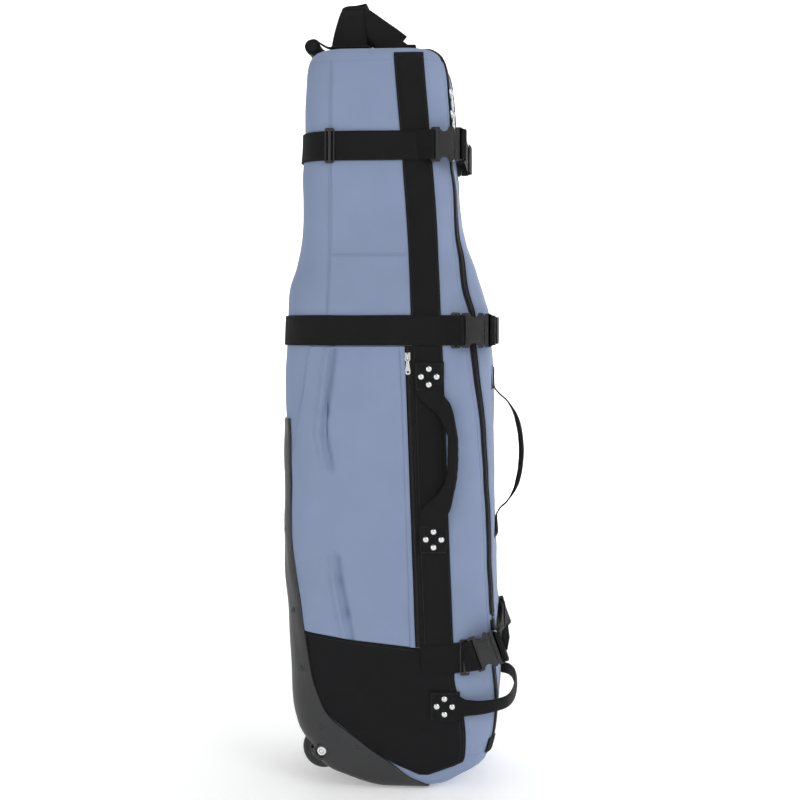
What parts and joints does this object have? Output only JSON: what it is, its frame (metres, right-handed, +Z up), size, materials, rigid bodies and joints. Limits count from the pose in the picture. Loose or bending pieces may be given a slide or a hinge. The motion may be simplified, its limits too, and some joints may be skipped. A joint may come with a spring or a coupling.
{
  "type": "golf travel case",
  "caption": "Tall wheeled fabric golf travel case with a narrow club-head top, moulded base, front zip flap, girth straps and handles.",
  "frame": {"origin": "on the flat underside of the moulded base, in the middle of the width", "axes": "+Z up along the case, -Y towards the front flap, +Y towards the moulded back and wheels, X across the width"},
  "size_m": [0.3798, 0.4228, 1.3884],
  "materials": {
    "case_fabric": "heavy woven polyester, blue-grey, matte with a faint sheen",
    "boot_fabric": "coarse black ballistic weave, matte",
    "webbing": "heavy ribbed black webbing",
    "zip_tape": "black woven tape with moulded coil teeth",
    "grip_padding": "padded black fabric, hook-and-loop closed",
    "moulded_plastic": "black moulded polymer, fine spark texture",
    "buckle_plastic": "black acetal, satin",
    "bright_metal": "polished nickel plate",
    "dark_metal": "black oxide steel",
    "wheel_rubber": "smooth black urethane",
    "wheel_hub": "dark grey nylon",
    "bearing_steel": "bright steel",
    "foam_lining": "grey lining over closed-cell foam"
  },
  "bodies": {
    "case": {"back_panel": "case_fabric", "base_rivets": "dark_metal", "boots": "boot_fabric", "bottom_strap_rear": "webbing", "bottom_tub": "case_fabric", "buckle_sockets": "buckle_plastic", "club_head_pad": "foam_lining", "handle_patches": "webbing", "handle_rivets": "bright_metal", "inner_club_strap": "webbing", "left_side_panel": "case_fabric", "lower_front_panel": "case_fabric", "mid_strap_rear": "webbing", "moulded_base": "moulded_plastic", "pocket_zips": "zip_tape", "rear_grip": "grip_padding", "rear_grip_loops": "webbing", "right_side_panel": "case_fabric", "side_pockets": "case_fabric", "side_webbings": "webbing", "strap_adjusters": "buckle_plastic", "top_handle_straps": "webbing", "top_handle_tabs": "webbing", "top_handle_wrap": "grip_padding", "top_panel": "case_fabric", "top_strap_rear": "webbing", "wheel_axles": "dark_metal", "wheel_housings": "moulded_plastic", "wheel_nuts_and_washers": "dark_metal", "zip_end_tabs": "zip_tape", "zip_tape_case": "zip_tape"},
    "flap": {"front_flap": "case_fabric", "zip_tape_flap": "zip_tape", "front_handle_patches": "webbing"},
    "front_handle": {"front_handle_strap": "webbing"},
    "top_strap": {"top_strap_front": "webbing", "top_buckle_plugs": "buckle_plastic"},
    "mid_strap": {"mid_strap_front": "webbing", "mid_buckle_plugs": "buckle_plastic"},
    "bottom_strap": {"bottom_strap_front": "webbing", "bottom_buckle_plugs": "buckle_plastic"},
    "bottom_handle": {"bottom_handle_strap": "webbing"},
    "side_handle_left": {"side_handle_strap_left": "webbing", "side_handle_grip_left": "grip_padding"},
    "side_handle_right": {"side_handle_strap_right": "webbing", "side_handle_grip_right": "grip_padding"},
    "wheel_left": {"wheel_tyre_left": "wheel_rubber", "wheel_hub_left": "wheel_hub", "wheel_bearings_left": "bearing_steel"},
    "wheel_right": {"wheel_tyre_right": "wheel_rubber", "wheel_hub_right": "wheel_hub", "wheel_bearings_right": "bearing_steel"},
    "lower_zip_slider": {"main_slider_lower": "bright_metal"},
    "lower_zip_pull": {"main_pull_lower": "bright_metal"},
    "upper_zip_slider": {"main_slider_upper": "bright_metal"},
    "upper_zip_pull": {"main_pull_upper": "bright_metal"},
    "pocket_slider_left": {"pocket_slider_left": "bright_metal"},
    "pocket_pull_left": {"pocket_pull_left": "bright_metal"},
    "pocket_slider_right": {"pocket_slider_right": "bright_metal"},
    "pocket_pull_right": {"pocket_pull_right": "bright_metal"}
  },
  "joints": [
    {"name": "flap_fold", "type": "hinge", "parent": "case", "child": "flap", "pos_m": [0, -0.169, 0.296], "axis": [1, 0, 0], "range_deg": [0, 90]},
    {"name": "top_strap_release", "type": "slide", "parent": "flap", "child": "top_strap", "axis": [0, -1, 0], "range_m": [0, 0.04]},
    {"name": "mid_strap_release", "type": "slide", "parent": "flap", "child": "mid_strap", "axis": [0, -1, 0], "range_m": [0, 0.04]},
    {"name": "bottom_strap_release", "type": "slide", "parent": "case", "child": "bottom_strap", "axis": [0, -0.9397, 0.342], "range_m": [0, 0.04]},
    {"name": "front_handle_swing", "type": "hinge", "parent": "flap", "child": "front_handle", "pos_m": [0, -0.169, 0.575], "axis": [0, 0, 1], "range_deg": [-45, 45]},
    {"name": "bottom_handle_swing", "type": "hinge", "parent": "case", "child": "bottom_handle", "pos_m": [0, -0.089, 0.147], "axis": [1, 0, 0], "range_deg": [-12, 14]},
    {"name": "side_handle_left_swing", "type": "hinge", "parent": "case", "child": "side_handle_left", "pos_m": [-0.1735, -0.055, 0.5745], "axis": [0, 0, -1], "range_deg": [0, 130]},
    {"name": "side_handle_right_swing", "type": "hinge", "parent": "case", "child": "side_handle_right", "pos_m": [0.1735, -0.055, 0.5745], "axis": [0, 0, 1], "range_deg": [0, 130]},
    {"name": "wheel_left_spin", "type": "hinge", "parent": "case", "child": "wheel_left", "pos_m": [-0.118, 0.135, 0.062], "axis": [1, 0, 0], "continuous": true},
    {"name": "wheel_right_spin", "type": "hinge", "parent": "case", "child": "wheel_right", "pos_m": [0.118, 0.135, 0.062], "axis": [1, 0, 0], "continuous": true},
    {"name": "lower_zip_run", "type": "slide", "parent": "flap", "child": "lower_zip_slider", "axis": [-0.0499, -0.0553, -0.9972], "range_m": [0, 0.12]},
    {"name": "lower_zip_pull_lift", "type": "hinge", "parent": "lower_zip_slider", "child": "lower_zip_pull", "pos_m": [-0.08078, -0.09014, 1.17927], "axis": [-0.9721, 0.2339, -0.0157], "range_deg": [0, 130]},
    {"name": "upper_zip_run", "type": "slide", "parent": "flap", "child": "upper_zip_slider", "axis": [-0.0499, -0.0561, -0.9972], "range_m": [-0.006, 0]},
    {"name": "upper_zip_pull_lift", "type": "hinge", "parent": "upper_zip_slider", "child": "upper_zip_pull", "pos_m": [-0.07882, -0.08802, 1.21727], "axis": [-0.9757, 0.2187, -0.0146], "range_deg": [0, 130]},
    {"name": "pocket_zip_run_left", "type": "slide", "parent": "case", "child": "pocket_slider_left", "axis": [0, -0.0356, -0.9994], "range_m": [0, 0.44]},
    {"name": "pocket_pull_lift_left", "type": "hinge", "parent": "pocket_slider_left", "child": "pocket_pull_left", "pos_m": [-0.1708, -0.016, 0.75], "axis": [0, 1, 0], "range_deg": [0, 130]},
    {"name": "pocket_zip_run_right", "type": "slide", "parent": "case", "child": "pocket_slider_right", "axis": [0, -0.0356, -0.9994], "range_m": [0, 0.44]},
    {"name": "pocket_pull_lift_right", "type": "hinge", "parent": "pocket_slider_right", "child": "pocket_pull_right", "pos_m": [0.1708, -0.016, 0.75], "axis": [0, -1, 0], "range_deg": [0, 130]}
  ]
}
